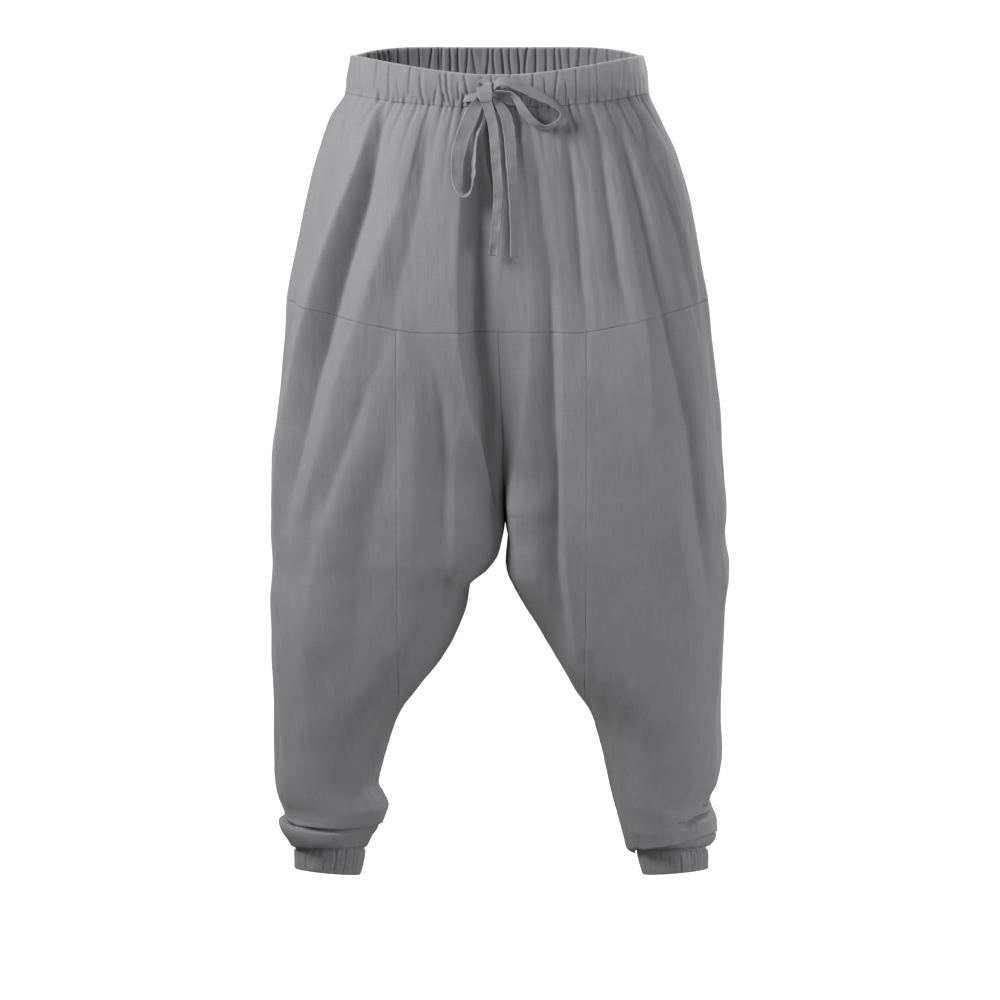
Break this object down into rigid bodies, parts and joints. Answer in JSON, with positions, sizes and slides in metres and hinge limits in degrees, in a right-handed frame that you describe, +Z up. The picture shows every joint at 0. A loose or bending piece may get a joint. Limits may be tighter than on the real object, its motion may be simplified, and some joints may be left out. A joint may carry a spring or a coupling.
{
  "type": "harem pants",
  "caption": "Drop-crotch harem pants with a gathered drawstring waist, yoke, crotch gusset, tapered legs and gathered ankle cuffs, worn hollow with no wearer.",
  "frame": {"origin": "middle of the waistband's ring, where the wearer's waist holds the garment", "axes": "+Z up the garment to the waist, -Y to its front, +X to the wearer's left"},
  "size_m": [0.5269, 0.3177, 0.958],
  "materials": {
    "cloth": "matt woven cotton, grey",
    "band_cloth": "matt woven cotton over elastic, grey",
    "tape": "folded and stitched tape of the same cloth"
  },
  "bodies": {
    "root": {"waistband": "band_cloth", "front_yoke": "cloth", "back_yoke": "cloth", "front_gusset": "cloth", "back_gusset": "cloth", "leg_front_r": "cloth", "leg_front_l": "cloth", "leg_back_r": "cloth", "leg_back_l": "cloth", "cuff_r": "band_cloth", "cuff_l": "band_cloth", "lead_r": "tape", "lead_l": "tape", "knot": "tape", "loop_r": "tape", "loop_l": "tape", "tail_r": "tape", "tail_l": "tape"}
  },
  "joints": []
}
